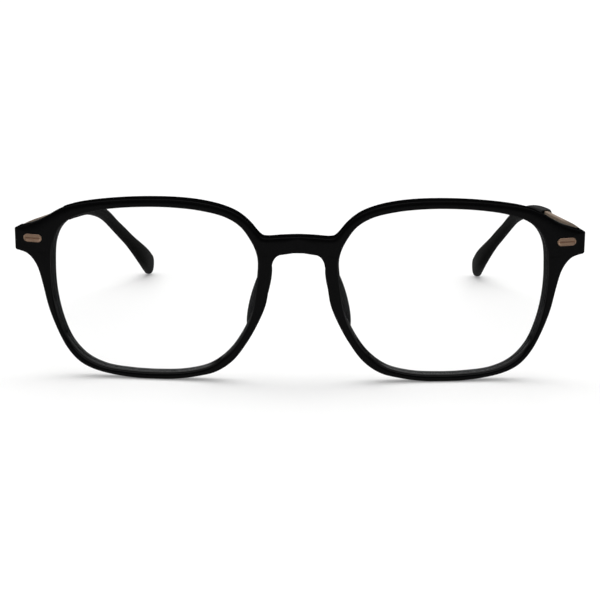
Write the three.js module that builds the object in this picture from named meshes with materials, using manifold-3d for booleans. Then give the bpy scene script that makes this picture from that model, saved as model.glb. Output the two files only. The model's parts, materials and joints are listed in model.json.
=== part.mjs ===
// Spectacles with a slim squarish front, flat metal arms and moulded tips, standing open on a
// flat surface on the two rims and the two tips. Millimetres: +X to the side, +Y to the rear, +Z up.
import * as THREE from 'three';
import { mergeVertices } from 'three/addons/utils/BufferGeometryUtils.js';
import Module from 'manifold-3d';

const wasm = await Module();
wasm.setup();

// Whole pair: the Y that is halfway from the front to the tips.
const MIDDLE_Y = 73;

// Front. Its outlines lie in its own plane: x to the side, s up from the lowest point of the rims.
const FRONT_DEPTH = 3.8;
const FRONT_EDGE_RADIUS = 0.45;
const FRONT_TILT = THREE.MathUtils.degToRad(5);
const REST_LAND = 0.25;
const BEND_START = 14.8;
const BEND_RADIUS = 200;
const BRIDGE_FLAT = 2.6;
const BRIDGE_UNDERSIDE = 33.1;
const TOP_EDGE = [
  [0, 37.2], [4, 37.05], [7.7, 36.8], [9.4, 37.45], [12, 40.5], [15, 42.9], [19, 44.55],
  [24, 45.65], [30, 46.2], [37, 46.2], [44, 45.75], [51, 44.85], [56.5, 43.65], [60.5, 41.9],
  [64, 39.8], [67, 38.4], [70, 37.4],
];
const END_FACE = { x: 70.85, top: 36.95, bottom: 32.2 };
const LOWER_EDGE = [
  [70, 31.5], [68, 30.9], [66.4, 29.5], [65.05, 27], [64, 23], [62.7, 17.3], [60.7, 11.8],
  [58.3, 7.1], [55.2, 3.65], [51, 1.65], [45, 0.5], [38, 0], [31, 0.25], [25, 1.15], [20.2, 2.55],
  [16, 5.6], [12.5, 10.4], [9.85, 15.3], [8, 19.9], [7.2, 24.5], [6.6, 29], [6.15, 31], [5.05, 32.35],
];
const OPENING = [
  [9.95, 30.6], [10.45, 33.4], [11.85, 36.4], [14.3, 39.7], [18, 42], [24, 43.5], [31, 44.15],
  [38, 44.1], [45, 43.5], [51, 42.4], [56, 40.6], [59.4, 37.8], [61.1, 34.2], [61.7, 28],
  [61.4, 21], [59.9, 14], [57.5, 8.55], [53.9, 4.75], [49, 2.6], [42, 1.8], [35, 1.7],
  [28, 2.2], [22, 3.85], [17.4, 7.3], [13.95, 12.1], [11.75, 17.2], [10.65, 23],
];
const OPENING_STEPS = 54;

// Lenses: spherical shells that sit in a groove round each opening.
const LENS = { middleX: 36, middleS: 22.9, radius: 130, thickness: 1.5, lead: 0.35, reach: 0.6 };
const GROOVE_CLEARANCE = 0.08;
const LENS_BLANK = { radius: 37, rings: 4, sides: 40 };

// Nose pads: flattened ovals glued to the rear of the inner rims.
const PAD = { x: 9.8, s: 21, depth: 5.2, halfWidth: 1.5, halfDepth: 4.2, halfHeight: 9.2 };
const PAD_LEAN = THREE.MathUtils.degToRad(17);
const PAD_SPLAY = THREE.MathUtils.degToRad(18.5);
const PAD_GAP = 0.06;

// Plaques inlaid in the front near each end.
const PLAQUE = { x: 66.1, s: 34.9, length: 4.8, height: 2, proud: 0.3, inlaid: 0.4, edge: 0.14 };
const POCKET_MARGIN = 0.06;
const PLAQUE_GROOVES = { count: 3, pitch: 0.42, length: 2.9, width: 0.14, depth: 0.12 };

// Hinges: three knuckles on one screw, the upper and lower ones on the front's leaf.
const PIVOT = { x: 66.6, y: 10.2, z: 35.0 };
const ARM_DROP = THREE.MathUtils.degToRad(3.4);
const KNUCKLE_RADIUS = 1.45;
const KNUCKLE_HALF_STACK = 2.1;
const KNUCKLE_HALF_MIDDLE = 0.68;
const KNUCKLE_GAP = 0.08;
const PIN_RADIUS = 0.62;
const PIN_CLEARANCE = 0.08;
const PIN = {
  halfLength: 2.16, headRadius: 1.15, headHeight: 0.5, edge: 0.15, slotWidth: 0.26, slotDepth: 0.25,
};
const KNUCKLE_WEB = { front: -3, thickness: 0.6 };
const LEAF = { x: 66, s: 34.1, width: 4.8, height: 5.2, thickness: 0.8, corner: 0.5, gap: 0.15 };
const LEAF_SCREW = {
  offset: -1.45, spacing: 2.8, shank: 0.5, tip: 0.3, point: 0.4, length: 2.6,
  head: 0.85, edge: 0.1, sink: 0.35, slotWidth: 0.2, slotDepth: 0.18,
};
const SCREW_HOLE = { room: 0.06, deeper: 0.3 };
const ARM_LEAF = { from: 1.2, to: 9.2, halfHeight: 1.6, outer: 2.8, thickness: 0.75 };
const ARM_WEB = { front: -0.9, rear: 2.4 };
const ARM_BUTT_GAP = 0.15;

// Temples: the centre line of the right-hand one from its hinge, with y along the arm. Both stand
// swung a little towards +X about their hinges.
const TEMPLE_LINE = [
  [3.7, -3.4, 0], [3.7, 6, 0], [3.5, 18, 0], [2.8, 34, 0], [1.8, 49, 0.1], [0.4, 62, 0.4],
  [-1.8, 75, 0], [-4.5, 90, -2.8], [-7, 102, -8], [-9.4, 113, -13.1], [-11.9, 126.6, -19.3],
  [-12.8, 141, -24.43],
];
const TEMPLE_SWING = THREE.MathUtils.degToRad(0.6);
// Distance along the line, then half thickness and half height of the arm and of the tip.
const ARM_SIZE = [[0, 0.7, 1.9], [12, 0.7, 1.9], [58, 0.65, 1.5], [76, 0.6, 1.1]];
const TIP_SIZE = [
  [60, 1.75, 2.1], [68, 1.75, 2.1], [84, 1.55, 1.75], [104, 1.3, 1.7], [116, 1.32, 1.9],
  [144, 1.7, 3.4], [147, 1.7, 3.4],
];
const SOCKET_CLEARANCE = 0.07;
const TIP_START_ROUND = 1.1;
const TIP_END_ROUND = 2.6;

const glossBlack = new THREE.MeshStandardMaterial({ color: 0x0b0b0c, roughness: 0.12 });
const padBlack = new THREE.MeshStandardMaterial({ color: 0x141415, roughness: 0.25 });
const roseGold = new THREE.MeshStandardMaterial({ color: 0xb98f74, roughness: 0.35, metalness: 1 });
const taupeMetal = new THREE.MeshStandardMaterial({
  color: 0x8b7868, roughness: 0.35, metalness: 1,
});
const steel = new THREE.MeshStandardMaterial({ color: 0xa7a9ab, roughness: 0.3, metalness: 1 });
const clearLens = new THREE.MeshStandardMaterial({
  color: 0xf2f6fb, roughness: 0.02, transparent: true, opacity: 0.2,
});

const shift = (x, y, z) => new THREE.Matrix4().makeTranslation(x, y, z);
const turnX = (angle) => new THREE.Matrix4().makeRotationX(angle);
const turnY = (angle) => new THREE.Matrix4().makeRotationY(angle);
const turnZ = (angle) => new THREE.Matrix4().makeRotationZ(angle);
const chain = (...steps) => steps.reduce((all, step) => all.multiply(step), new THREE.Matrix4());

// A closed geometry as a manifold solid, moved by a matrix on the way.
function solid(geometry, matrix = new THREE.Matrix4()) {
  const bare = new THREE.BufferGeometry();
  bare.setAttribute('position', geometry.getAttribute('position').clone());
  if (geometry.index) bare.setIndex(geometry.index.clone());
  bare.applyMatrix4(matrix);
  const merged = mergeVertices(bare, 1e-4);
  return new wasm.Manifold(new wasm.Mesh({
    numProp: 3,
    vertProperties: merged.getAttribute('position').array,
    triVerts: new Uint32Array(merged.index.array),
  }));
}

function geometryOf(manifold) {
  const mesh = manifold.getMesh();
  const geometry = new THREE.BufferGeometry();
  geometry.setAttribute('position', new THREE.BufferAttribute(mesh.vertProperties, 3));
  geometry.setIndex(new THREE.BufferAttribute(mesh.triVerts, 1));
  geometry.computeVertexNormals();
  return geometry;
}

function box(x0, x1, y0, y1, z0, z1) {
  const geometry = new THREE.BoxGeometry(x1 - x0, y1 - y0, z1 - z0);
  return solid(geometry, shift((x0 + x1) / 2, (y0 + y1) / 2, (z0 + z1) / 2));
}

// A round piece about its Z axis, from radius and height pairs that start and end on the axis.
function turned(profile, sides, matrix) {
  const points = profile.map(([radius, height]) => new THREE.Vector2(radius, height));
  const upright = chain(matrix ?? new THREE.Matrix4(), turnX(Math.PI / 2));
  return solid(new THREE.LatheGeometry(points, sides), upright);
}

const rod = (radius, z0, z1, sides = 16) =>
  turned([[0, z0], [radius, z0], [radius, z1], [0, z1]], sides);

// The front's curve in plan, and a frame on it: x along the surface, y to the rear, z up.
const rearward = (x) => Math.max(Math.abs(x) - BEND_START, 0) ** 2 / (2 * BEND_RADIUS);
const wrapAngle = (x) =>
  Math.atan(Math.max(Math.abs(x) - BEND_START, 0) / BEND_RADIUS) * Math.sign(x);

function onFront(x, s, depth) {
  const angle = wrapAngle(x);
  const point = shift(x - depth * Math.sin(angle), rearward(x) + depth * Math.cos(angle), s);
  return point.multiply(turnZ(angle));
}

// An outline extruded from one depth to another behind the front surface, then wrapped round it.
function wrapped(shape, nearDepth, farDepth, edgeRadius, curveSegments) {
  const geometry = new THREE.ExtrudeGeometry(shape, {
    depth: farDepth - nearDepth - 2 * edgeRadius,
    bevelEnabled: edgeRadius > 0,
    bevelThickness: edgeRadius,
    bevelSize: edgeRadius,
    bevelOffset: -edgeRadius,
    bevelSegments: 2,
    curveSegments,
  });
  const position = geometry.getAttribute('position');
  const point = new THREE.Vector3();
  for (let i = 0; i < position.count; i += 1) {
    const depth = farDepth - edgeRadius - position.getZ(i);
    point.setFromMatrixPosition(onFront(position.getX(i), position.getY(i), depth));
    position.setXYZ(i, point.x, point.y, point.z);
  }
  return solid(geometry);
}

function evenly(from, to, count) {
  return Array.from({ length: count + 1 }, (_, i) => from + ((to - from) * i) / count);
}

const vectors = (pairs) => pairs.map(([x, s]) => new THREE.Vector2(x, s));
const mirrored = (pairs) => pairs.map(([x, s]) => [-x, s]).reverse();

function closedLoop(pairs, samples) {
  const knots = pairs.map(([x, s]) => new THREE.Vector3(x, s, 0));
  const curve = new THREE.CatmullRomCurve3(knots, true, 'centripetal');
  return curve.getPoints(samples).slice(0, -1).map((p) => new THREE.Vector2(p.x, p.y));
}

// The same loop moved outward by a distance. The loop runs clockwise.
function widened(loop, distance) {
  return loop.map((point, i) => {
    const along = loop[(i + 1) % loop.length].clone().sub(loop.at(i - 1)).normalize();
    return new THREE.Vector2(point.x - along.y * distance, point.y + along.x * distance);
  });
}

function frontShape() {
  const { x, top, bottom } = END_FACE;
  const [endTop, endBottom] = [TOP_EDGE.at(-1), LOWER_EDGE[0]];
  const shape = new THREE.Shape();
  shape.moveTo(-x, top);
  shape.quadraticCurveTo(-x, endTop[1], -endTop[0], endTop[1]);
  shape.splineThru(vectors([...mirrored(TOP_EDGE).slice(1), ...TOP_EDGE.slice(1)]));
  shape.quadraticCurveTo(x, endTop[1], x, top);
  shape.lineTo(x, bottom);
  shape.quadraticCurveTo(x, endBottom[1], ...endBottom);
  shape.splineThru(vectors([...LOWER_EDGE.slice(1), [BRIDGE_FLAT, BRIDGE_UNDERSIDE]]));
  shape.lineTo(-BRIDGE_FLAT, BRIDGE_UNDERSIDE);
  shape.splineThru(vectors(mirrored(LOWER_EDGE)));
  shape.quadraticCurveTo(-x, endBottom[1], -x, bottom);
  const opening = closedLoop(OPENING, OPENING_STEPS);
  shape.holes.push(new THREE.Path(opening.map((p) => new THREE.Vector2(-p.x, p.y))));
  shape.holes.push(new THREE.Path(opening.reverse()));
  return shape;
}

// The right-hand lens, or with a margin the space that its groove takes.
function lensSolid(margin) {
  const { middleX, middleS, radius, thickness, lead, reach } = LENS;
  const outer = radius + margin;
  const inner = radius - thickness - margin;
  const rings = evenly(0, LENS_BLANK.radius, LENS_BLANK.rings);
  const profile = [
    ...rings.map((r) => [r, -Math.sqrt(outer ** 2 - r ** 2)]),
    ...rings.reverse().map((r) => [r, -Math.sqrt(inner ** 2 - r ** 2)]),
  ];
  const centre = onFront(middleX, middleS, radius - lead);
  const shell = turned(profile, LENS_BLANK.sides, chain(centre, turnX(-Math.PI / 2)));
  const loop = widened(closedLoop(OPENING, OPENING_STEPS), reach + margin);
  const beyond = 6;
  const outline = wrapped(new THREE.Shape(loop), -beyond, FRONT_DEPTH + beyond, 0, 1);
  return outline.intersect(shell);
}

// The right-hand plaque before it is grooved, or with a margin the pocket that it sits in.
function plaqueSolid(margin) {
  const { x, s, length, height, proud, inlaid, edge } = PLAQUE;
  const half = height / 2 + margin;
  const reach = (length - height) / 2;
  const shape = new THREE.Shape();
  shape.absarc(reach, 0, half, -Math.PI / 2, Math.PI / 2);
  shape.absarc(-reach, 0, half, Math.PI / 2, (3 * Math.PI) / 2);
  const geometry = new THREE.ExtrudeGeometry(shape, {
    depth: proud + inlaid + 2 * margin - 2 * edge,
    bevelThickness: edge,
    bevelSize: edge,
    bevelOffset: margin > 0 ? 0 : -edge,
    bevelSegments: 1,
    curveSegments: 8,
  });
  const seat = onFront(x, s, inlaid + margin - edge);
  return solid(geometry, chain(seat, turnX(Math.PI / 2)));
}

function groovedPlaque() {
  const { count, pitch, length, width, depth } = PLAQUE_GROOVES;
  const face = onFront(PLAQUE.x, PLAQUE.s, -PLAQUE.proud);
  let plaque = plaqueSolid(0);
  for (let i = 0; i < count; i += 1) {
    const z = (i - (count - 1) / 2) * pitch;
    const groove = new THREE.BoxGeometry(length, 2 * depth, width);
    plaque = plaque.subtract(solid(groove, chain(face, shift(0, 0, z))));
  }
  return plaque;
}

function padSolid() {
  const { x, s, depth, halfWidth, halfDepth, halfHeight } = PAD;
  const place = chain(shift(x, depth, s), turnY(-PAD_LEAN), turnZ(-PAD_SPLAY));
  const oval = chain(place, new THREE.Matrix4().makeScale(halfWidth, halfDepth, halfHeight));
  const whole = solid(new THREE.SphereGeometry(1, 24, 16), oval);
  const [left, right] = [x - 2 * halfHeight, x + 2 * halfHeight];
  return whole.subtract(box(left, right, -halfHeight, FRONT_DEPTH + PAD_GAP, 0, 2 * s));
}

// A screw along -Y with its slotted head at y = 0 and its point at y = -length.
function leafScrew() {
  const { shank, tip, point, length, head, edge, sink, slotWidth, slotDepth } = LEAF_SCREW;
  const profile = [[0, -length], [tip, -length], [shank, point - length], [shank, -sink],
    [head - edge, -sink], [head, edge - sink], [head, 0], [0, 0]];
  const slot = box(-2 * head, 2 * head, -slotWidth / 2, slotWidth / 2, -slotDepth, 1);
  return turned(profile, 16).subtract(slot).transform(turnX(-Math.PI / 2).elements);
}

const hingeFrame = chain(shift(PIVOT.x, PIVOT.y, PIVOT.z), turnX(-ARM_DROP));
const frontFrame = chain(shift(0, 0, -REST_LAND), turnX(FRONT_TILT));
const frontInHinge = chain(hingeFrame.clone().invert(), frontFrame);
const leafSeat = onFront(LEAF.x, LEAF.s, FRONT_DEPTH + LEAF.gap);
const screwSpots = {
  upper: chain(leafSeat, shift(LEAF_SCREW.offset, LEAF.thickness, LEAF_SCREW.spacing / 2)),
  lower: chain(leafSeat, shift(LEAF_SCREW.offset, LEAF.thickness, -LEAF_SCREW.spacing / 2)),
};

function leafScrewHole(spot) {
  const { shank, head, sink, length } = LEAF_SCREW;
  const { room, deeper } = SCREW_HOLE;
  const [bottom, shoulder, top] = [-length - deeper, -sink - room, 0.5];
  const profile = [[0, bottom], [shank + room, bottom], [shank + room, shoulder],
    [head + room, shoulder], [head + room, top], [0, top]];
  return turned(profile, 16, chain(spot, turnX(-Math.PI / 2)));
}

// Everything in front of a seat on the front's rear face.
const aheadOfSeat = new THREE.BoxGeometry(40, 20, 40);
const aheadShift = shift(0, -10, 0);
const pinBore = rod(PIN_RADIUS + PIN_CLEARANCE, -2 * KNUCKLE_HALF_STACK, 2 * KNUCKLE_HALF_STACK);

// The front's leaf, in the hinge's frame: a screwed plate with an upper and a lower knuckle.
function frontLeaf() {
  const { width, height, thickness, corner } = LEAF;
  const { front, thickness: web } = KNUCKLE_WEB;
  const [w, h] = [width / 2, height / 2];
  const shape = new THREE.Shape();
  shape.absarc(w - corner, h - corner, corner, 0, Math.PI / 2);
  shape.absarc(-w + corner, h - corner, corner, Math.PI / 2, Math.PI);
  shape.absarc(-w + corner, -h + corner, corner, Math.PI, 1.5 * Math.PI);
  shape.absarc(w - corner, -h + corner, corner, 1.5 * Math.PI, 2 * Math.PI);
  const geometry = new THREE.ExtrudeGeometry(shape, {
    depth: thickness, bevelEnabled: false, curveSegments: 3,
  });
  const place = chain(frontInHinge, leafSeat, shift(0, thickness, 0), turnX(Math.PI / 2));
  let leaf = solid(geometry, place);
  for (const side of [1, -1]) {
    const [near, far] = [side * (KNUCKLE_HALF_MIDDLE + KNUCKLE_GAP), side * KNUCKLE_HALF_STACK];
    const [z0, z1] = [Math.min(near, far), Math.max(near, far)];
    leaf = leaf.add(rod(KNUCKLE_RADIUS, z0, z1));
    leaf = leaf.add(box(-KNUCKLE_RADIUS, web, front, 0, z0, z1));
  }
  leaf = leaf.subtract(solid(aheadOfSeat, chain(frontInHinge, leafSeat, aheadShift)));
  leaf = leaf.subtract(pinBore);
  for (const spot of Object.values(screwSpots)) {
    leaf = leaf.subtract(leafScrewHole(chain(frontInHinge, spot)));
  }
  return leaf;
}

function armLeaf() {
  const { from, to, halfHeight, outer, thickness } = ARM_LEAF;
  return box(outer - thickness, outer, from, to, -halfHeight, halfHeight)
    .add(box(0, outer, ARM_WEB.front, ARM_WEB.rear, -KNUCKLE_HALF_MIDDLE, KNUCKLE_HALF_MIDDLE))
    .add(rod(KNUCKLE_RADIUS, -KNUCKLE_HALF_MIDDLE, KNUCKLE_HALF_MIDDLE))
    .subtract(pinBore);
}

function hingeScrew() {
  const { halfLength, headRadius, headHeight, edge, slotWidth, slotDepth } = PIN;
  const top = halfLength + headHeight;
  const profile = [[0, -halfLength], [PIN_RADIUS - edge, -halfLength],
    [PIN_RADIUS, edge - halfLength], [PIN_RADIUS, halfLength], [headRadius, halfLength],
    [headRadius, top - edge], [headRadius - edge, top], [0, top]];
  const slot = box(-2, 2, -slotWidth / 2, slotWidth / 2, top - slotDepth, top + 1);
  return turned(profile, 20).subtract(slot);
}

// Half sizes at a distance along the temple, between the rows of a table.
function sizeAt(table, distance) {
  const next = table.findIndex((row) => row[0] > distance);
  if (next === 0) return table[0].slice(1);
  if (next < 0) return table.at(-1).slice(1);
  const [a, b] = [table[next - 1], table[next]];
  const blend = THREE.MathUtils.smoothstep(distance, a[0], b[0]);
  return [1, 2].map((i) => THREE.MathUtils.lerp(a[i], b[i], blend));
}

const templeCurve = new THREE.CatmullRomCurve3(
  TEMPLE_LINE.map((point) => new THREE.Vector3(...point)), false, 'centripetal',
);
const templeLength = templeCurve.getLength();

// A section swept along the temple's line; half sizes for each distance come from a function.
function sweep(section, distances, halfSizes) {
  const steps = distances.length - 1;
  const geometry = new THREE.ExtrudeGeometry(section, {
    depth: steps, steps, bevelEnabled: false, curveSegments: 1,
  });
  const position = geometry.getAttribute('position');
  for (let i = 0; i < position.count; i += 1) {
    const distance = distances[Math.round(position.getZ(i))];
    const [halfThickness, halfHeight] = halfSizes(distance);
    const along = templeCurve.getTangentAt(distance / templeLength);
    const side = new THREE.Vector3(0, 0, 1).cross(along).normalize();
    const up = along.clone().cross(side);
    const point = templeCurve.getPointAt(distance / templeLength)
      .addScaledVector(side, position.getX(i) * halfThickness)
      .addScaledVector(up, position.getY(i) * halfHeight);
    position.setXYZ(i, point.x, point.y, point.z);
  }
  return solid(geometry);
}

const FLAT_STRIP = new THREE.Shape(vectors([
  [1, -0.85], [1, 0.85], [0.7, 1], [-0.7, 1], [-1, 0.85], [-1, -0.85], [-0.7, -1], [0.7, -1],
]));

function ovalSection(sides, squareness) {
  const corners = Array.from({ length: sides }, (_, i) => {
    const angle = ((i + 0.5) / sides) * 2 * Math.PI;
    return [Math.cos(angle), Math.sin(angle)]
      .map((v) => Math.sign(v) * Math.abs(v) ** (2 / squareness));
  });
  return new THREE.Shape(vectors(corners));
}

// Shrinks a section towards a rounded end: 1 inside, 0.2 at the very end.
function endRounding(distanceToEnd, round) {
  const inside = Math.min(Math.max(distanceToEnd / round, 0.02), 1);
  return Math.sqrt(1 - (1 - inside) ** 2);
}

const ARM_END = ARM_SIZE.at(-1)[0];
const TIP_START = TIP_SIZE[0][0];

function armSolid() {
  const arm = sweep(FLAT_STRIP, evenly(0, ARM_END, 18), (d) => sizeAt(ARM_SIZE, d));
  const butt = onFront(END_FACE.x, PIVOT.z, FRONT_DEPTH + ARM_BUTT_GAP);
  return arm.subtract(solid(aheadOfSeat, chain(frontInHinge, butt, aheadShift)));
}

function tipSolid() {
  const rounds = [0, 0.15, 0.4, 1].map((part) => part * TIP_START_ROUND);
  const ends = [1, 0.6, 0.3, 0.12, 0].map((part) => templeLength - part * TIP_END_ROUND);
  const distances = [
    ...rounds.map((d) => TIP_START + d),
    ...evenly(TIP_START + 4, templeLength - 5, 20),
    ...ends,
  ];
  const body = sweep(ovalSection(16, 2.6), distances, (d) => {
    const start = endRounding(d - TIP_START, TIP_START_ROUND);
    const end = endRounding(templeLength - d, TIP_END_ROUND);
    return sizeAt(TIP_SIZE, d).map((size) => size * Math.max(start, 0.55) * end);
  });
  const socket = sweep(FLAT_STRIP, evenly(TIP_START - 3, ARM_END + 0.4, 6), (d) =>
    sizeAt(ARM_SIZE, d).map((size) => size + SOCKET_CLEARANCE));
  return body.subtract(socket);
}

function frontSolid() {
  let front = wrapped(frontShape(), 0, FRONT_DEPTH, FRONT_EDGE_RADIUS, 2);
  const mirror = new THREE.Matrix4().makeScale(-1, 1, 1);
  const cuts = [
    lensSolid(GROOVE_CLEARANCE),
    plaqueSolid(POCKET_MARGIN),
    leafScrewHole(screwSpots.upper),
    leafScrewHole(screwSpots.lower),
  ];
  for (const cut of cuts) {
    front = front.subtract(cut).subtract(cut.transform(mirror.elements));
  }
  const floor = new THREE.BoxGeometry(200, 60, 10);
  const below = chain(frontFrame.clone().invert(), shift(0, 0, -5));
  return front.subtract(solid(floor, below));
}

const part = new THREE.Group();
part.position.y = -MIDDLE_Y;

function add(group, name, body, material) {
  const mesh = new THREE.Mesh(body, material);
  mesh.name = name;
  group.add(mesh);
  return mesh;
}

function groupAt(matrix) {
  const group = new THREE.Group();
  matrix.decompose(group.position, group.quaternion, group.scale);
  return group;
}

const frontGroup = groupAt(frontFrame);
part.add(frontGroup);
add(frontGroup, 'front_frame', geometryOf(frontSolid()), glossBlack);

const onFrontPieces = {
  lens: [geometryOf(lensSolid(0)), clearLens],
  nose_pad: [geometryOf(padSolid()), padBlack],
  front_plaque: [geometryOf(groovedPlaque()), roseGold],
};
const onHingePieces = {
  hinge_front_leaf: [geometryOf(frontLeaf()), steel],
  hinge_screw: [geometryOf(hingeScrew()), steel],
};
const templePieces = {
  temple_hinge_leaf: [geometryOf(armLeaf()), steel],
  temple_arm: [geometryOf(armSolid()), taupeMetal],
  temple_tip: [geometryOf(tipSolid()), glossBlack],
};
const screw = geometryOf(leafScrew());

for (const [sideName, side] of [['left', -1], ['right', 1]]) {
  const frontSide = new THREE.Group();
  frontSide.scale.x = side;
  frontGroup.add(frontSide);
  for (const [name, [body, material]] of Object.entries(onFrontPieces)) {
    add(frontSide, `${name}_${sideName}`, body, material);
  }
  for (const [level, spot] of Object.entries(screwSpots)) {
    const holder = groupAt(spot);
    frontSide.add(holder);
    add(holder, `leaf_screw_${level}_${sideName}`, screw, steel);
  }

  const half = new THREE.Group();
  half.scale.x = side;
  const hinge = groupAt(hingeFrame);
  half.add(hinge);
  part.add(half);
  for (const [name, [body, material]] of Object.entries(onHingePieces)) {
    add(hinge, `${name}_${sideName}`, body, material);
  }
  const temple = new THREE.Group();
  temple.rotation.z = -side * TEMPLE_SWING;
  hinge.add(temple);
  for (const [name, [body, material]] of Object.entries(templePieces)) {
    add(temple, `${name}_${sideName}`, body, material);
  }
}

export default part;
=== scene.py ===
# Blue light glasses: the detailed visual model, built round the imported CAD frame.
import json
import math

import bmesh
import bpy
import numpy as np
from mathutils import Matrix, Vector


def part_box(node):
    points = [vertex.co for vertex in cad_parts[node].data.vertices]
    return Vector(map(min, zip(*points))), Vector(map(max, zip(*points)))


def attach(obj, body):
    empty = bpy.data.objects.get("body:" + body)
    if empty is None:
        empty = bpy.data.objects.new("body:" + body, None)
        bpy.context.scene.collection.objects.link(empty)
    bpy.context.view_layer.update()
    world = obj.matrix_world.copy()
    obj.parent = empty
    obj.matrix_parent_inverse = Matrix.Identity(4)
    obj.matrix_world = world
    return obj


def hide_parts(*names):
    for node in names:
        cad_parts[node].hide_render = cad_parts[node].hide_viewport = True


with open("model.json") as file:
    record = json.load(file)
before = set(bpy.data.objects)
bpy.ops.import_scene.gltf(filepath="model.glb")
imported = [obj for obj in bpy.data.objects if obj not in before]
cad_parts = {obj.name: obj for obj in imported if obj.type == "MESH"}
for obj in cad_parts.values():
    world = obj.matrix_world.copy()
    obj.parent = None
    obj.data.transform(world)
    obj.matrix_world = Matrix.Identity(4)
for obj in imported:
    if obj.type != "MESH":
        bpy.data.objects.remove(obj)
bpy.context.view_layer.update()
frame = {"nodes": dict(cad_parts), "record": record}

# The object's sizes are in millimetres. The row frame, the stage and the camera are in metres.
MM = 0.001
MICRON = 0.000001

# The hinge pivots are the anchors that everything is placed from.
JOINTS = {joint["name"]: joint for joint in frame["record"]["behaviour"]["joints"]}
PIVOT = np.array(JOINTS["fold_right"]["pos_m"]) / MM
PIVOT_BEHIND_FRONT = 10.2
FRONT_ORIGIN_Y = PIVOT[1] - PIVOT_BEHIND_FRONT
FRONT_TILT = math.radians(5)
REST_LAND = 0.25
ARM_DROP = math.radians(3.4)
TEMPLE_SWING = math.radians(0.6)

# Front: half outlines in its own plane, x to the side and s up, millimetres.
FRONT_DEPTH = 3.8
BEND_START = 14.8
BEND_RADIUS = 200.0
BRIDGE_FLAT = 2.6
BRIDGE_UNDERSIDE = 33.1
TOP_EDGE = [
    [0, 37.2], [4, 37.05], [7.7, 36.8], [9.4, 37.45], [12, 40.5], [15, 42.9], [19, 44.55],
    [24, 45.65], [30, 46.2], [37, 46.2], [44, 45.75], [51, 44.85], [56.5, 43.65], [60.5, 41.9],
    [64, 39.8], [67, 38.4], [70, 37.4],
]
END_FACE = dict(x=70.85, top=36.95, bottom=32.2)
LOWER_EDGE = [
    [70, 31.5], [68, 30.9], [66.4, 29.5], [65.05, 27], [64, 23], [62.7, 17.3], [60.7, 11.8],
    [58.3, 7.1], [55.2, 3.65], [51, 1.65], [45, 0.5], [38, 0], [31, 0.25], [25, 1.15],
    [20.2, 2.55], [16, 5.6], [12.5, 10.4], [9.85, 15.3], [8, 19.9], [7.2, 24.5], [6.6, 29],
    [6.15, 31], [5.05, 32.35],
]
OPENING = [
    [9.95, 30.6], [10.45, 33.4], [11.85, 36.4], [14.3, 39.7], [18, 42], [24, 43.5], [31, 44.15],
    [38, 44.1], [45, 43.5], [51, 42.4], [56, 40.6], [59.4, 37.8], [61.1, 34.2], [61.7, 28],
    [61.4, 21], [59.9, 14], [57.5, 8.55], [53.9, 4.75], [49, 2.6], [42, 1.8], [35, 1.7],
    [28, 2.2], [22, 3.85], [17.4, 7.3], [13.95, 12.1], [11.75, 17.2], [10.65, 23],
]
OUTER_EDGE_RADIUS = 0.25
REAR_EDGE_RADIUS = 0.35
FRONT_CROWN = 0.06
# The lip round each opening's front edge. It is narrower along the upper edge.
LIP = dict(width=0.32, upper_width=0.14, depth=0.5, groove_margin=0.14, bow=0.3, steps=6)
LIP_SUPPORT = 0.04

# How finely the front is drawn.
SPLINE_STEPS = 16
CORNER_STEPS = 13
COLUMN_STEP = 0.55
MIDDLE_COLUMNS = 9
CAP_ROWS = 6
FILLET_STEPS = 6
WELD = 2 * MICRON

LENS = dict(middle_x=36.0, middle_s=22.9, radius=130.0, thickness=1.5, lead=0.35, gap=0.01)
# The bevel round each lens and the groove that it sits in: reach outward, half width at the wall.
BEVEL = dict(reach=0.42, half_width=0.26)
GROOVE = dict(reach=0.5, half_width=0.32)

PAD = dict(x=9.8, s=21.0, depth=5.2, half=(1.5, 4.2, 9.2), lean=17.0, splay=18.5, sunk=0.25)
PLAQUE = dict(x=66.1, s=34.9, length=4.8, height=2.0, proud=0.3, inlaid=0.3, bevel=0.1)
# Each plaque's sunk field and its grooves: how far in from the edge, how wide a ramp, how deep.
FIELD = dict(inset=0.3, ramp=0.05, depth=0.05)
PLAQUE_GROOVES = dict(inset=0.36, ramp=0.08, pitch=0.42, middle_depth=0.2, depth=0.06)

TEMPLE_LINE = [
    [3.7, -3.4, 0], [3.7, 6, 0], [3.5, 18, 0], [2.8, 34, 0], [1.8, 49, 0.1], [0.4, 62, 0.4],
    [-1.8, 75, 0], [-4.5, 90, -2.8], [-7, 102, -8], [-9.4, 113, -13.1], [-11.9, 126.6, -19.3],
    [-12.8, 141, -24.43],
]
# Distance along the line, half thickness and half height.
ARM_SIZE = [[0, 0.7, 1.9], [12, 0.7, 1.9], [58, 0.65, 1.5], [76, 0.6, 1.1]]
TIP_SIZE = [
    [60, 1.75, 2.1], [68, 1.75, 2.1], [84, 1.55, 1.75], [104, 1.3, 1.7], [116, 1.32, 1.9],
    [144, 1.7, 3.4], [147, 1.7, 3.4],
]
TIP_START_ROUND = 1.3
TIP_END_ROUND = 2.6
TIP_MOUTH = [0.72, 1.62]
TIP_MOUTH_DEPTH = 1.5
TIP_SQUARENESS = 2.6
ARM_EDGE_RADIUS = 0.28
# Where the arm starts, where its even part ends, and where it ends inside the tip.
ARM_REACH = (1.55, 60, 64)
# The end faces: how much smaller they are than the section, and how far the front one stands out.
ARM_END_SCALE = [0.8, 1, 0.93]
ARM_NOSE = 0.12
TEMPLE_STEPS = dict(arm=90, arm_in_tip=4, tip=150, tip_end=9, tip_round=48)
TANGENT_STEP = 0.4


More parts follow.
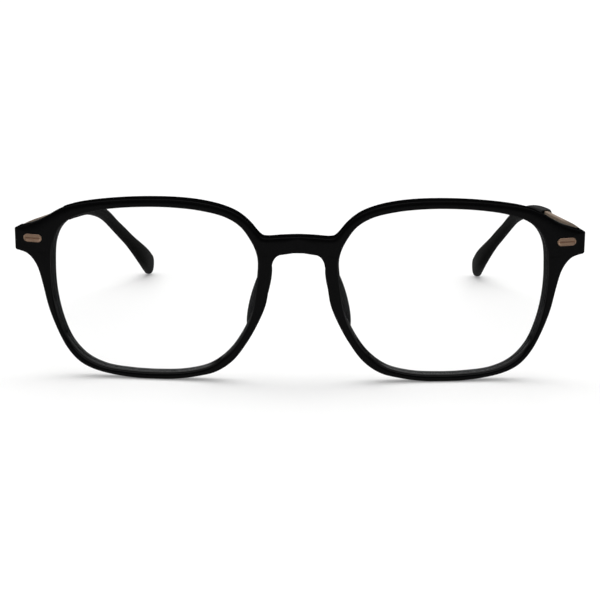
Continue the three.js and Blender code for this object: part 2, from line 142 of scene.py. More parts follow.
# ---------------------------------------------------------------- curves
def catmull_rom(points, closed, per_span):
    """The centripetal Catmull-Rom curve through the points, evenly sampled in each span."""
    knots = np.asarray(points, float)
    count = len(knots)
    rows = []
    for i in range(count if closed else count - 1):
        if closed:
            p0, p1, p2, p3 = (knots[(i + k) % count] for k in (-1, 0, 1, 2))
        else:
            p1, p2 = knots[i], knots[i + 1]
            p0 = knots[i - 1] if i else 2 * p1 - p2
            p3 = knots[i + 2] if i + 2 < count else 2 * p2 - p1
        spans = ((p0, p1), (p1, p2), (p2, p3))
        d0, d1, d2 = (max(np.linalg.norm(b - a), 1e-6) ** 0.5 for a, b in spans)
        t1 = ((p1 - p0) / d0 - (p2 - p0) / (d0 + d1) + (p2 - p1) / d1) * d1
        t2 = ((p2 - p1) / d1 - (p3 - p1) / (d1 + d2) + (p3 - p2) / d2) * d1
        for t in np.arange(per_span) / per_span:
            rows.append(p1 + t1 * t + (3 * (p2 - p1) - 2 * t1 - t2) * t**2
                        + (2 * (p1 - p2) + t1 + t2) * t**3)
    if not closed:
        rows.append(knots[-1])
    return np.array(rows)


def uniform_spline(points, per_span):
    """The uniform Catmull-Rom curve through the points, as three.js's splineThru draws it."""
    knots = np.asarray(points, float)
    rows = []
    for i in range(len(knots) - 1):
        p1, p2 = knots[i], knots[i + 1]
        p0 = knots[max(i - 1, 0)]
        p3 = knots[min(i + 2, len(knots) - 1)]
        v0, v1 = (p2 - p0) / 2, (p3 - p1) / 2
        for t in np.arange(per_span) / per_span:
            rows.append((2 * p1 - 2 * p2 + v0 + v1) * t**3
                        + (-3 * p1 + 3 * p2 - 2 * v0 - v1) * t**2 + v0 * t + p1)
    rows.append(knots[-1])
    return np.array(rows)


def along(curve, distances):
    """Points at the given distances along a polyline."""
    steps = np.linalg.norm(np.diff(curve, axis=0), axis=1)
    total = np.r_[0, np.cumsum(steps)]
    return np.stack([np.interp(distances, total, curve[:, k]) for k in range(curve.shape[1])], 1)


def length_of(curve):
    return float(np.linalg.norm(np.diff(curve, axis=0), axis=1).sum())


def normals_2d(loop, closed):
    """Unit normals to the left of the direction of travel."""
    if closed:
        step = np.roll(loop, -1, 0) - np.roll(loop, 1, 0)
    else:
        step = np.gradient(loop, axis=0)
    step /= np.linalg.norm(step, axis=1)[:, None]
    return np.stack([-step[:, 1], step[:, 0]], 1)


# ---------------------------------------------------------------- the front's space
def bend(x):
    """How far back the front's wrap carries a point, and the turn of its surface there."""
    past = np.maximum(np.abs(x) - BEND_START, 0)
    return past**2 / (2 * BEND_RADIUS), np.arctan(past / BEND_RADIUS) * np.sign(x)


def wrap(x, s, depth):
    """Points at (x, s) on the front and at a depth behind its surface, in the front's frame."""
    x, s, depth = np.broadcast_arrays(x, s, depth)
    rear, angle = bend(x)
    return np.stack([x - depth * np.sin(angle), rear + depth * np.cos(angle), s], -1)


def front_to_row(points):
    """From the front's frame, in millimetres, to the row frame, in metres."""
    c, s = math.cos(FRONT_TILT), math.sin(FRONT_TILT)
    x, y, z = points[..., 0], points[..., 1], points[..., 2]
    placed = np.stack([x, FRONT_ORIGIN_Y + c * y - s * z, s * y + c * z - REST_LAND], -1)
    return placed * MM


def hinge_to_row(points, side):
    """From the right-hand temple's frame, in millimetres, to the row frame, in metres."""
    turn = -side * TEMPLE_SWING
    c, s = math.cos(turn), math.sin(turn)
    x = points[..., 0] * c - points[..., 1] * s
    y = points[..., 0] * s + points[..., 1] * c
    c, s = math.cos(ARM_DROP), math.sin(ARM_DROP)
    z = points[..., 2]
    placed = np.stack([(x + PIVOT[0]) * side, PIVOT[1] + c * y + s * z,
                       PIVOT[2] - s * y + c * z], -1)
    return placed * MM


# ---------------------------------------------------------------- meshes
def strip(a, b, closed):
    """Quads between two rows of vertex numbers."""
    a, b = list(a), list(b)
    if closed:
        a, b = a + a[:1], b + b[:1]
    return [(a[i], a[i + 1], b[i + 1], b[i]) for i in range(len(a) - 1)]


class Shell:
    """Gathers rows of points and the faces between them."""

    def __init__(self):
        self.points = []
        self.faces = []
        self.count = 0

    def row(self, points):
        points = np.asarray(points, float).reshape(-1, 3)
        self.points.append(points)
        self.count += len(points)
        return list(range(self.count - len(points), self.count))

    def join(self, a, b, closed=True):
        self.faces += strip(a, b, closed)

    def fan(self, row, tip):
        ring = list(row) + [row[0]]
        for a, b in zip(ring, ring[1:]):
            self.faces.append((a, b, tip))

    def array(self):
        return np.concatenate(self.points)


def make(name, points, faces, look, body, nodes, weld=0.0):
    """A smooth-shaded piece from points in the row frame, with its normals turned outward."""
    mesh = bpy.data.meshes.new(name)
    mesh.from_pydata([tuple(p) for p in points], [], [tuple(f) for f in faces])
    work = bmesh.new()
    work.from_mesh(mesh)
    if weld:
        bmesh.ops.remove_doubles(work, verts=work.verts, dist=weld)
    bmesh.ops.recalc_face_normals(work, faces=work.faces)
    work.to_mesh(mesh)
    work.free()
    for polygon in mesh.polygons:
        polygon.use_smooth = True
    mesh.materials.append(look)
    piece = bpy.data.objects.new(name, mesh)
    bpy.context.scene.collection.objects.link(piece)
    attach(piece, body)
    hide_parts(*nodes)
    return piece


def crease(piece, degrees):
    """Keeps edges sharper than an angle crisp."""
    chosen = [piece]
    with bpy.context.temp_override(object=piece, active_object=piece, selected_objects=chosen,
                                   selected_editable_objects=chosen):
        bpy.ops.object.shade_smooth_by_angle(angle=math.radians(degrees))


# ---------------------------------------------------------------- materials
def material(name, colour, roughness, metallic=0.0, specular=0.5):
    made = bpy.data.materials.new(name)
    made.use_nodes = True
    shader = made.node_tree.nodes["Principled BSDF"]
    shader.inputs["Base Color"].default_value = (*colour, 1)
    shader.inputs["Roughness"].default_value = roughness
    shader.inputs["Metallic"].default_value = metallic
    shader.inputs["Specular IOR Level"].default_value = specular
    return made, shader


def noise(made, scale, stretch=(1, 1, 1), detail=3.0):
    """Noise fixed to the object, with a scale in cycles per metre along each axis."""
    nodes, links = made.node_tree.nodes, made.node_tree.links
    place = nodes.new("ShaderNodeTexCoord")
    mapping = nodes.new("ShaderNodeMapping")
    mapping.inputs["Scale"].default_value = tuple(scale * k for k in stretch)
    texture = nodes.new("ShaderNodeTexNoise")
    texture.inputs["Scale"].default_value = 1.0
    texture.inputs["Detail"].default_value = detail
    links.new(place.outputs["Object"], mapping.inputs["Vector"])
    links.new(mapping.outputs["Vector"], texture.inputs["Vector"])
    return texture.outputs["Fac"]


def ranged(made, value, low, high, start=0.3, end=0.7):
    """A number between two, following a value."""
    nodes, links = made.node_tree.nodes, made.node_tree.links
    node = nodes.new("ShaderNodeMapRange")
    node.inputs["From Min"].default_value = start
    node.inputs["From Max"].default_value = end
    node.inputs["To Min"].default_value = low
    node.inputs["To Max"].default_value = high
    links.new(value, node.inputs["Value"])
    return node.outputs["Result"]


def blended(made, value, low, high, start=0.3, end=0.7):
    """A colour between two, following a value."""
    nodes, links = made.node_tree.nodes, made.node_tree.links
    ramp = nodes.new("ShaderNodeValToRGB")
    ramp.color_ramp.elements[0].position = start
    ramp.color_ramp.elements[0].color = (*low, 1)
    ramp.color_ramp.elements[1].position = end
    ramp.color_ramp.elements[1].color = (*high, 1)
    links.new(value, ramp.inputs["Fac"])
    return ramp.outputs["Color"]


def bump(made, shader, value, distance):
    nodes, links = made.node_tree.nodes, made.node_tree.links
    node = nodes.new("ShaderNodeBump")
    node.inputs["Distance"].default_value = distance
    node.inputs["Strength"].default_value = 1.0
    links.new(value, node.inputs["Height"])
    links.new(node.outputs["Normal"], shader.inputs["Normal"])


# Cycles per metre of the gloss's smears, specks and ripple and of the brushed lines, then the
# heights of the last two.
SMEAR, SPECK, RIPPLE, GRAIN = 140, 2600, 700, 9000
RIPPLE_HEIGHT = 4 * MICRON
GRAIN_HEIGHT = 6 * MICRON


def gloss_black(name, colour, roughness, specular):
    """Polished plastic, a little uneven in shine and tone."""
    made, shader = material(name, colour, roughness, specular=specular)
    links = made.node_tree.links
    smear = noise(made, SMEAR)
    links.new(ranged(made, smear, roughness * 0.8, roughness * 1.35), shader.inputs["Roughness"])
    speck = noise(made, SPECK, detail=2.0)
    tint = blended(made, speck, tuple(c * 0.8 for c in colour), tuple(c * 1.25 for c in colour))
    links.new(tint, shader.inputs["Base Color"])
    bump(made, shader, noise(made, RIPPLE, detail=1.0), RIPPLE_HEIGHT)
    return made


def brushed(name, dark, light, roughness, stretch, grain=GRAIN, metallic=1.0):
    """Metal with fine lines that run along the axes with a small stretch."""
    made, shader = material(name, light, roughness, metallic=metallic)
    links = made.node_tree.links
    lines = noise(made, grain, stretch, detail=2.0)
    links.new(blended(made, lines, dark, light), shader.inputs["Base Color"])
    links.new(ranged(made, lines, roughness * 1.25, roughness * 0.8), shader.inputs["Roughness"])
    bump(made, shader, lines, GRAIN_HEIGHT)
    return made


BLACK = gloss_black("polished_black", (0.0018, 0.0018, 0.002), 0.08, 0.2)
TIP_BLACK = gloss_black("tip_black", (0.0015, 0.0016, 0.0013), 0.18, 0.1)
PAD_BLACK = gloss_black("pad_black", (0.0015, 0.0015, 0.0016), 0.18, 0.08)
TAUPE = brushed("taupe_metal", (0.5, 0.38, 0.28), (0.66, 0.5, 0.37), 0.36, (1, 0.02, 1),
                metallic=0.87)
ROSE = brushed("rose_gold", (0.86, 0.57, 0.4), (0.94, 0.63, 0.45), 0.3, (0.02, 0.02, 0.6),
               grain=6000)
STEEL = brushed("hinge_steel", (0.42, 0.41, 0.4), (0.56, 0.55, 0.54), 0.28, (1, 0.05, 1))
SCREW_STEEL = brushed("screw_steel", (0.5, 0.49, 0.48), (0.66, 0.65, 0.64), 0.22, (1, 1, 0.1))


# The lens's mirror coat: its tone, how much shows face on, and how fast that grows to the side.
COAT = dict(colour=(0.9, 0.92, 0.95), face_on=0.02, power=5.0, smear=60, roughness=(0.01, 0.05))


def lens_material():
    """Clear plastic seen through: a mirror coat, faint face on and strong at a grazing angle."""
    made, shader = material("clear_lens", COAT["colour"], 0.02, metallic=1.0)
    nodes, links = made.node_tree.nodes, made.node_tree.links
    facing = nodes.new("ShaderNodeLayerWeight")
    facing.inputs["Blend"].default_value = 0.5
    power = nodes.new("ShaderNodeMath")
    power.operation = "POWER"
    power.inputs[1].default_value = COAT["power"]
    links.new(facing.outputs["Facing"], power.inputs[0])
    alpha = ranged(made, power.outputs["Value"], COAT["face_on"], 1.0, 0.0, 1.0)
    links.new(alpha, shader.inputs["Alpha"])
    smear = noise(made, COAT["smear"])
    links.new(ranged(made, smear, *COAT["roughness"]), shader.inputs["Roughness"])
    return made


LENS_CLEAR = lens_material()


# ---------------------------------------------------------------- front
def half_outline():
    """The right half's outer edge, clockwise from the top of the bridge to its underside."""
    end_top, end_bottom = np.array(TOP_EDGE[-1], float), np.array(LOWER_EDGE[0], float)
    x = END_FACE["x"]
    crown = [[-a, b] for a, b in TOP_EDGE[:0:-1]] + TOP_EDGE
    top = uniform_spline(crown, SPLINE_STEPS)
    top = top[len(top) // 2:]

    def corner(a, b, c):
        t = np.linspace(0, 1, CORNER_STEPS)[:, None]
        a, b, c = (np.asarray(p, float) for p in (a, b, c))
        return (1 - t) ** 2 * a + 2 * t * (1 - t) * b + t**2 * c

    upper = corner(end_top, (x, end_top[1]), (x, END_FACE["top"]))
    lower = corner((x, END_FACE["bottom"]), (x, end_bottom[1]), end_bottom)
    under = uniform_spline(LOWER_EDGE + [[BRIDGE_FLAT, BRIDGE_UNDERSIDE]], SPLINE_STEPS)
    line = np.concatenate([top, upper[1:], lower, under[1:], [[0, BRIDGE_UNDERSIDE]]])
    keep = np.r_[True, np.linalg.norm(np.diff(line, axis=0), axis=1) > 1e-6]
    return line[keep]


# Samples along the line, samples averaged, the sharpest turn counted and columns for each radian.
RESAMPLE = dict(samples=8000, window=41, sharpest=2.5, per_radian=6)
OPENING_STEPS = 200


def resample(line, step):
    """Even steps along a line, but shorter where it turns sharply."""
    samples, window = RESAMPLE["samples"], RESAMPLE["window"]
    spacing = length_of(line) / samples
    fine = along(line, np.linspace(0, length_of(line), samples))
    way = np.unwrap(np.arctan2(*np.diff(fine, axis=0).T[::-1]))
    turning = np.abs(np.gradient(np.r_[way, way[-1]])) / spacing
    turning = np.convolve(turning, np.ones(window) / window, mode="same")
    turning = np.minimum(turning, RESAMPLE["sharpest"])
    density = np.cumsum(1 / step + turning * RESAMPLE["per_radian"])
    density -= density[0]
    count = int(density[-1] * length_of(line) / samples)
    at = np.interp(np.linspace(0, density[-1], count), density, np.arange(samples))
    return np.stack([np.interp(at, np.arange(samples), fine[:, k]) for k in (0, 1)], 1)


opening_curve = catmull_rom(OPENING, True, OPENING_STEPS)
opening_normal = -normals_2d(opening_curve, True)
if np.sum((opening_curve - opening_curve.mean(0)) * opening_normal) < 0:
    opening_normal = -opening_normal


def opening_at(points):
    """The nearest points of the opening's edge, with its outward normals there."""
    nearest = [int(np.argmin(np.sum((opening_curve - p) ** 2, 1))) for p in points]
    # Each point falls between the samples on either side, so that columns don't snap to samples.
    at = []
    size = len(opening_curve)
    for p, i in zip(points, nearest):
        a, b = opening_curve[i - 1], opening_curve[(i + 1) % size]
        share = np.clip(np.dot(p - a, b - a) / np.dot(b - a, b - a), 0, 1)
        at.append(i - 1 + 2 * share)
    at = np.array(at) % size
    low = np.floor(at).astype(int) % size
    mix = (at - np.floor(at))[:, None]
    high = (low + 1) % size
    place = opening_curve[low] * (1 - mix) + opening_curve[high] * mix
    normal = opening_normal[low] * (1 - mix) + opening_normal[high] * mix
    return place, normal / np.linalg.norm(normal, axis=1)[:, None]


lens_rear, lens_angle = bend(np.array(LENS["middle_x"]))
lens_axis = np.array([-math.sin(lens_angle), math.cos(lens_angle), 0])
lens_side = np.array([math.cos(lens_angle), math.sin(lens_angle), 0])
lens_seat = np.array([LENS["middle_x"], float(lens_rear), LENS["middle_s"]])
lens_front = lens_seat - LENS["lead"] * lens_axis
lens_centre = lens_front + LENS["radius"] * lens_axis
# The depths between which the lens's faces are looked for, and how often that span is halved.
DEPTH_RANGE = (-4.0, 9.0)
HALVINGS = 40


def depth_of_sphere(x, s, radius):
    """How far behind the front's surface a sphere about the lens's centre lies."""
    low, high = (np.full(len(x), depth) for depth in DEPTH_RANGE)
    for _ in range(HALVINGS):
        middle = (low + high) / 2
        outside = np.linalg.norm(wrap(x, s, middle) - lens_centre, axis=1) > radius
        low, high = np.where(outside, middle, low), np.where(outside, high, middle)
    return (low + high) / 2


def fillet(radius):
    """Offsets from the edge and depths from the face, round a quarter circle from face to wall."""
    angles = np.linspace(0, math.pi / 2, FILLET_STEPS + 1)
    return [(radius * (1 - math.sin(a)), radius * (1 - math.cos(a))) for a in angles]


def build_front():
    edge = resample(half_outline(), COLUMN_STEP)
    edge[0, 0] = edge[-1, 0] = 0.0
    inward = normals_2d(edge, False)
    if np.sum((edge - [36, 23]) * inward) > 0:
        inward = -inward
    inward[0], inward[-1] = (0, -1), (0, 1)
    middle_s = np.linspace(edge[-1, 1] + OUTER_EDGE_RADIUS, edge[0, 1] - OUTER_EDGE_RADIUS,
                           MIDDLE_COLUMNS)[1:-1]
    middle = np.stack([np.zeros(len(middle_s)), middle_s], 1)
    flat_edge = np.concatenate([edge + inward * OUTER_EDGE_RADIUS, middle])
    hole, outward = opening_at(flat_edge)
    groove = depth_of_sphere(hole[:, 0], hole[:, 1], LENS["radius"] - LENS["thickness"] / 2)
    lip_depth = np.minimum(LIP["depth"], groove - GROOVE["half_width"] - LIP["groove_margin"])
    upward = np.clip(outward[:, 1], 0, 1)
    lip_width = LIP["width"] + (LIP["upper_width"] - LIP["width"]) * upward
    shell = Shell()

    def at(points_2d, depth):
        return shell.row(wrap(points_2d[:, 0], points_2d[:, 1], depth))

    def face(depth, direction, inset):
        rows = []
        flat_hole = hole + outward * inset
        for share in np.linspace(0, 1, CAP_ROWS + 1):
            crown = FRONT_CROWN * (1 - (2 * share - 1) ** 2) * direction
            rows.append(at(flat_hole * (1 - share) + flat_edge * share, depth + crown))
        for a, b in zip(rows, rows[1:]):
            shell.join(a, b)
        return rows[0], rows[-1]

    near_hole, near_edge = face(0.0, -1, lip_width[:, None])
    far_hole, far_edge = face(FRONT_DEPTH, 0, REAR_EDGE_RADIUS)
    rim = len(edge)

    # Outer wall, with both its fillets, from the front face to the rear one.
    profile = fillet(OUTER_EDGE_RADIUS)
    previous = near_edge[:rim]
    walls = profile[1:] + [(0.0, FRONT_DEPTH * k) for k in (0.4, 0.6)]
    walls += [(off, FRONT_DEPTH - depth) for off, depth in profile[:0:-1]]
    for off, depth in walls:
        row = at(edge + inward * off, depth)
        shell.join(previous, row, False)
        previous = row
    shell.join(previous, far_edge[:rim], False)

    # Inner wall: a bowed lip that leads in from the face, a row that keeps the lip's shading to
    # itself, the lens groove, and the rear edge.
    inner = []
    for t in np.linspace(0, 1, LIP["steps"] + 1)[1:]:
        bowed = 2 * t * (1 - t) * LIP["bow"]
        inner.append((lip_width * ((1 - t) ** 2 + bowed), lip_depth * (bowed + t * t)))
    inner += [(0.0, lip_depth + LIP_SUPPORT)]
    inner += [(0.0, groove - GROOVE["half_width"]), (GROOVE["reach"], groove)]
    inner += [(0.0, groove + GROOVE["half_width"])]
    inner += [(off, FRONT_DEPTH - depth) for off, depth in fillet(REAR_EDGE_RADIUS)[:0:-1]]
    previous = near_hole
    for off, depth in inner:
        row = at(hole + outward * np.reshape(off, (-1, 1)), depth)
        shell.join(previous, row)
        previous = row
    shell.join(previous, far_hole)

    points = front_to_row(shell.array())
    points[:, 2] = np.maximum(points[:, 2], 0)
    mirrored = points * [-1, 1, 1]
    both = np.concatenate([points, mirrored])
    faces = shell.faces + [tuple(i + len(points) for i in reversed(f)) for f in shell.faces]
    front = make("front", both, faces, BLACK, "front", ["front_frame"], weld=WELD)
    crease(front, 30)


# ---------------------------------------------------------------- lenses
LENS_EDGE_STEPS = 8
LENS_RINGS = 21


def build_lens(side_name, side):
    loop = catmull_rom(OPENING, True, LENS_EDGE_STEPS)
    place, outward = opening_at(loop)
    edge = place - outward * LENS["gap"]
    shell = Shell()
    rings = {}
    radii = dict(near=LENS["radius"], far=LENS["radius"] - LENS["thickness"])
    for face_name, radius in radii.items():
        depth = depth_of_sphere(edge[:, 0], edge[:, 1], radius)
        rim = wrap(edge[:, 0], edge[:, 1], depth) - lens_centre
        across, up = rim @ lens_side, rim[:, 2]
        rows = []
        for share in np.linspace(1, 0, LENS_RINGS)[:-1]:
            a, b = across * share, up * share
            rear = radius - np.sqrt(radius**2 - a**2 - b**2)
            start = lens_centre - radius * lens_axis
            rows.append(shell.row(start + a[:, None] * lens_side + rear[:, None] * lens_axis
                                  + b[:, None] * np.array([0, 0, 1.0])))
        for a, b in zip(rows, rows[1:]):
            shell.join(a, b)
        tip = shell.row([lens_centre - radius * lens_axis])[0]
        shell.fan(rows[-1], tip)
        rings[face_name] = rows[0]
    middle = depth_of_sphere(edge[:, 0], edge[:, 1], LENS["radius"] - LENS["thickness"] / 2)
    ridge = edge + outward * BEVEL["reach"]
    previous = rings["near"]
    for line, depth in ((edge, middle - BEVEL["half_width"]), (ridge, middle),
                        (edge, middle + BEVEL["half_width"])):
        row = shell.row(wrap(line[:, 0], line[:, 1], depth))
        shell.join(previous, row)
        previous = row
    shell.join(previous, rings["far"])
    points = front_to_row(shell.array() * [side, 1, 1])
    lens = make(f"lens_glass_{side_name}", points, shell.faces, LENS_CLEAR, "front",
                [f"lens_{side_name}"])
    crease(lens, 35)


# ---------------------------------------------------------------- nose pads
def build_pad(side_name, side):
    work = bmesh.new()
    bmesh.ops.create_uvsphere(work, u_segments=72, v_segments=48, radius=1.0)
    half = PAD["half"]
    place = (Matrix.Translation((PAD["x"], PAD["depth"], PAD["s"]))
             @ Matrix.Rotation(-math.radians(PAD["lean"]), 4, "Y")
             @ Matrix.Rotation(-math.radians(PAD["splay"]), 4, "Z")
             @ Matrix.Diagonal((*half, 1)))
    bmesh.ops.transform(work, matrix=place, verts=work.verts)
    cut = bmesh.ops.bisect_plane(
        work, geom=work.verts[:] + work.edges[:] + work.faces[:],
        plane_co=(0, FRONT_DEPTH - PAD["sunk"], 0), plane_no=(0, -1, 0), clear_outer=True)
    rim = [e for e in cut["geom_cut"] if isinstance(e, bmesh.types.BMEdge)]
    bmesh.ops.holes_fill(work, edges=rim)
    work.verts.index_update()
    points = np.array([v.co[:] for v in work.verts])
    faces = [[v.index for v in f.verts] for f in work.faces]
    work.free()
    points = front_to_row(points * [side, 1, 1])
    pad = make(f"pad_{side_name}", points, faces, PAD_BLACK, "front",
               [f"nose_pad_{side_name}"])
    crease(pad, 60)


# ---------------------------------------------------------------- plaques
def build_plaque(side_name, side):
    half = PLAQUE["height"] / 2
    reach = PLAQUE["length"] / 2 - half
    rear, angle = bend(np.array(PLAQUE["x"]))
    tangent = np.array([math.cos(angle), math.sin(angle), 0])
    normal = np.array([-math.sin(angle), math.cos(angle), 0])
    seat = np.array([PLAQUE["x"], float(rear), PLAQUE["s"]])
    rows, columns = 84, 96

    def height(x, z):
        """A rounded edge, then a sunk field with grooves along it, the middle one deep."""
        inside = half - np.hypot(np.maximum(np.abs(x) - reach, 0), z)
        edge_share = np.clip(inside / PLAQUE["bevel"], 0, 1)
        bevel = PLAQUE["bevel"] * (1 - np.sqrt(1 - (1 - edge_share) ** 2))
        field = np.clip((inside - FIELD["inset"]) / FIELD["ramp"], 0, 1)
        lines = PLAQUE_GROOVES
        ends = np.clip((inside - lines["inset"]) / lines["ramp"], 0, 1)
        grooves = np.clip(2.4 * np.cos(2 * np.pi * z / lines["pitch"]) - 1.4, 0, 1)
        deep = np.where(np.abs(z) < lines["pitch"] / 2, lines["middle_depth"], lines["depth"])
        return PLAQUE["proud"] - bevel - field * FIELD["depth"] - ends * deep * grooves

    shell = Shell()
    grid = []
    for angle_up in np.linspace(-math.pi / 2, math.pi / 2, rows + 1):
        z = half * math.sin(angle_up)
        wide = reach + half * math.cos(angle_up)
        x = np.linspace(-wide, wide, columns + 1)
        out = height(x, np.full_like(x, z))
        grid.append(shell.row(seat + x[:, None] * tangent - out[:, None] * normal + [[0, 0, z]]))
    for a, b in zip(grid, grid[1:]):
        shell.join(a, b, False)
    edge = (grid[0] + [row[-1] for row in grid[1:-1]]
            + grid[-1][::-1] + [row[0] for row in grid[-2:0:-1]])
    skirt = shell.array()[edge]
    skirt += ((PLAQUE["inlaid"] + PLAQUE["proud"] - PLAQUE["bevel"]) * normal)[None]
    low = shell.row(skirt)
    shell.join(edge, low)
    centre = shell.row([skirt.mean(0)])[0]
    shell.fan(low, centre)
    points = front_to_row(shell.array() * [side, 1, 1])
    plaque = make(f"plaque_{side_name}", points, shell.faces, ROSE, "front",
                  [f"front_plaque_{side_name}"])
    crease(plaque, 50)


# ---------------------------------------------------------------- temples
temple_curve = catmull_rom(TEMPLE_LINE, False, 60)
temple_length = length_of(temple_curve)


def size_at(table, distance):
    """Half thickness and half height at a distance, eased between the rows of a table."""
    sizes = np.zeros((len(distance), 2))
    for k in (1, 2):
        value = np.full(len(distance), float(table[0][k]))
        for a, b in zip(table, table[1:]):
            t = np.clip((distance - a[0]) / (b[0] - a[0]), 0, 1)
            value = np.where(distance >= a[0], a[k] + (b[k] - a[k]) * t * t * (3 - 2 * t), value)
        sizes[:, k - 1] = value
    return sizes


def temple_frames(distance):
    """Places along the temple's line, with the directions to its side and upward."""
    inside = np.clip(distance, 0, temple_length)
    place = along(temple_curve, inside)
    ahead = along(temple_curve, np.clip(inside + TANGENT_STEP, 0, temple_length))
    before = along(temple_curve, np.clip(inside - TANGENT_STEP, 0, temple_length))
    tangent = ahead - before
    tangent /= np.linalg.norm(tangent, axis=1)[:, None]
    side = np.cross([0, 0, 1.0], tangent)
    side /= np.linalg.norm(side, axis=1)[:, None]
    return place, side, np.cross(tangent, side)


def oval(count, squareness):
    """A superellipse of half sizes 1 and 1, anticlockwise."""
    angle = (np.arange(count) + 0.5) / count * 2 * np.pi
    c, s = np.cos(angle), np.sin(angle)
    return np.stack([np.sign(c) * np.abs(c) ** (2 / squareness),
                     np.sign(s) * np.abs(s) ** (2 / squareness)], 1)


def swept_rows(shell, distance, sizes, section):
    place, side, up = temple_frames(distance)
    return [shell.row(place[i] + section[:, :1] * sizes[i, 0] * side[i]
                      + section[:, 1:] * sizes[i, 1] * up[i]) for i in range(len(distance))]


def rounded_section(half_x, half_z, radius, steps=4):
    """A rounded rectangle in millimetres, anticlockwise."""
    rows = []
    for k, (sx, sz) in enumerate(((1, 1), (-1, 1), (-1, -1), (1, -1))):
        for a in np.linspace(k * math.pi / 2, (k + 1) * math.pi / 2, steps + 1):
            rows.append((sx * (half_x - radius) + radius * math.cos(a),
                         sz * (half_z - radius) + radius * math.sin(a)))
    return np.array(rows)


def build_arm(side_name, side):
    shell = Shell()
    start, even_end, end = ARM_REACH
    distance = np.r_[np.linspace(start, even_end, TEMPLE_STEPS["arm"]),
                     np.linspace(even_end + 0.8, end, TEMPLE_STEPS["arm_in_tip"])]
    place, across, up = temple_frames(distance)
    sizes = size_at(ARM_SIZE, distance)
    rows = []
    for i in range(len(distance)):
        section = rounded_section(sizes[i, 0], sizes[i, 1], ARM_EDGE_RADIUS)
        rows.append(shell.row(place[i] + section[:, :1] * across[i] + section[:, 1:] * up[i]))
    for a, b in zip(rows, rows[1:]):
        shell.join(a, b)
    for row, inset in ((rows[0], -ARM_NOSE), (rows[-1], 0.0)):
        ring = shell.array()[row]
        centre = ring.mean(0)
        shrunk = centre + (ring - centre) * ARM_END_SCALE + [0, inset, 0]
        cap = shell.row(shrunk)
        shell.join(row, cap)
        shell.fan(cap, shell.row([shrunk.mean(0)])[0])
    points = hinge_to_row(shell.array(), side)
    arm = make(f"arm_{side_name}", points, shell.faces, TAUPE, f"temple_{side_name}",
               [f"temple_arm_{side_name}"])
    crease(arm, 50)


def build_tip(side_name, side):
    start = TIP_SIZE[0][0]
    section = oval(TEMPLE_STEPS["tip_round"], TIP_SQUARENESS)
    turn = np.linspace(0, math.pi / 2, TEMPLE_STEPS["tip_end"])
    opening = start + TIP_START_ROUND * (1 - np.cos(turn))
    closing = temple_length - TIP_END_ROUND * (1 - np.sin(turn))
    between = np.linspace(start + 2, temple_length - TIP_END_ROUND - 1, TEMPLE_STEPS["tip"])
    distance = np.r_[opening, between, closing]
    sizes = size_at(TIP_SIZE, distance)
    last = len(distance) - len(closing)
    mouth = np.array(TIP_MOUTH)
    for i in range(len(opening)):
        sizes[i] = mouth + (sizes[i] - mouth) * math.sin(turn[i])
    for i in range(last, len(distance)):
        sizes[i] *= max(math.cos(turn[i - last]), 0.02)
    shell = Shell()
    rows = swept_rows(shell, distance, sizes, section)
    for a, b in zip(rows, rows[1:]):
        shell.join(a, b)
    tip = shell.row([shell.array()[rows[-1]].mean(0)])[0]
    shell.fan(rows[-1], tip)
    well = swept_rows(shell, np.array([start + TIP_MOUTH_DEPTH]), mouth[None], section)[0]
    shell.join(rows[0], well)
    shell.fan(well, shell.row([shell.array()[well].mean(0)])[0])
    points = hinge_to_row(shell.array(), side)
    points[:, 2] = np.maximum(points[:, 2], 0)
    sleeve = make(f"tip_{side_name}", points, shell.faces, TIP_BLACK, f"temple_{side_name}",
                  [f"temple_tip_{side_name}"])
    crease(sleeve, 55)


# ---------------------------------------------------------------- small hardware kept from the CAD
def keep(node_name, finish, width):
    """Gives a CAD piece its material and soft edges of a width in millimetres."""
    piece = frame["nodes"][node_name]
    piece.data.materials.clear()
    piece.data.materials.append(finish)
    bevel = piece.modifiers.new("soft_edges", "BEVEL")
    bevel.width = width * MM
    bevel.segments = 2
    bevel.limit_method = "ANGLE"
    bevel.angle_limit = math.radians(40)
    bevel.harden_normals = True


LEAF_BEVEL = 0.08
SCREW_BEVEL = 0.05

build_front()
for side_name, side in (("left", -1), ("right", 1)):
    build_lens(side_name, side)
    build_pad(side_name, side)
    build_plaque(side_name, side)
    build_arm(side_name, side)
    build_tip(side_name, side)
    keep(f"hinge_front_leaf_{side_name}", STEEL, LEAF_BEVEL)
    keep(f"temple_hinge_leaf_{side_name}", STEEL, LEAF_BEVEL)
    keep(f"hinge_screw_{side_name}", SCREW_STEEL, SCREW_BEVEL)
    keep(f"leaf_screw_upper_{side_name}", SCREW_STEEL, SCREW_BEVEL)
    keep(f"leaf_screw_lower_{side_name}", SCREW_STEEL, SCREW_BEVEL)

# ---------------------------------------------------------------- floor, light and camera
# A light table: it glows a little, so that shadows stay pale.
FLOOR = dict(reach=6.0, colour=(0.76, 0.76, 0.757), glow=0.21, below=0.0002)
# The backdrop is white to the camera and bright to matt surfaces.
BACKDROP, MATT_LIGHT = 1.0, 0.6
# What the gloss mirrors is a dim tent: even below, with a grey strip at the horizon between two
# dark ones, and bright overhead. The places run from straight down to straight up.
TENT = [(0.0, 0.22), (0.34, 0.22), (0.39, 0.02), (0.43, 0.02), (0.47, 0.1), (0.54, 0.1),
        (0.57, 0.015), (0.75, 0.015), (0.83, 0.6), (1.0, 0.7)]
# The tent's panel high behind, band low behind and panels at the sides, by the direction's parts:
# where each fades in, and its level.
PANEL = dict(up=(0.6, 0.75), rear=(-0.1, 0.35), level=1.0)
BAND = dict(up=(0.13, 0.24), rear=(0.4, 0.6), level=0.3)
SIDES = dict(out=(0.8, 0.93), level=0.9)
